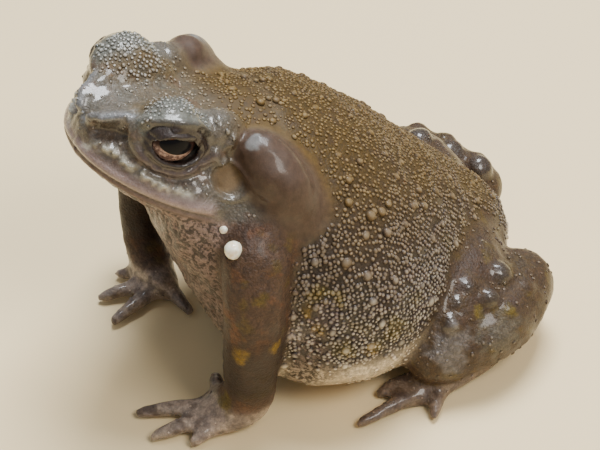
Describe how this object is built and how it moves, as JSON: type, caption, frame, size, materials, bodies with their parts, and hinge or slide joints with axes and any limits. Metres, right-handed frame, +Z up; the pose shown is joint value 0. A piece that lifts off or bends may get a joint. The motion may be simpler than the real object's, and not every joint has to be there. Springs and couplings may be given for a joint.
{
  "type": "sonoran desert toad",
  "caption": "Life-size Sonoran Desert toad sitting upright with its hind legs folded, as a still museum model.",
  "frame": {"origin": "on the floor, at the middle of the whole toad's box", "axes": "+X to the toad's left, +Y towards its rump (it faces -Y), +Z up"},
  "size_m": [0.108, 0.132, 0.0996],
  "materials": {
    "trunk_skin": "wet, warty",
    "head_skin": "wet, glossy",
    "throat_skin": "moist, wrinkled",
    "lid_skin": "wet, glossy",
    "gland_skin": "wet, smooth",
    "tympanum_skin": "thin, smooth",
    "white_wart": "smooth",
    "eye_glass": "polished",
    "fore_leg_skin": "wet",
    "hand_skin": "wet",
    "hind_leg_skin": "wet, warty",
    "foot_skin": "wet"
  },
  "bodies": {
    "root": {"torso": "trunk_skin", "head": "head_skin", "lower_jaw": "throat_skin", "eyelids_left": "lid_skin", "eyelids_right": "lid_skin", "eye_left": "eye_glass", "eye_right": "eye_glass", "tympanum_left": "tympanum_skin", "tympanum_right": "tympanum_skin", "parotoid_left": "gland_skin", "parotoid_right": "gland_skin", "mouth_wart_left": "white_wart", "mouth_wart_right": "white_wart", "small_wart_left": "white_wart", "small_wart_right": "white_wart", "upper_arm_left": "fore_leg_skin", "upper_arm_right": "fore_leg_skin", "forearm_left": "fore_leg_skin", "forearm_right": "fore_leg_skin", "hand_left": "hand_skin", "hand_right": "hand_skin", "thigh_left": "hind_leg_skin", "thigh_right": "hind_leg_skin", "shank_left": "hind_leg_skin", "shank_right": "hind_leg_skin", "foot_left": "foot_skin", "foot_right": "foot_skin"}
  },
  "joints": []
}
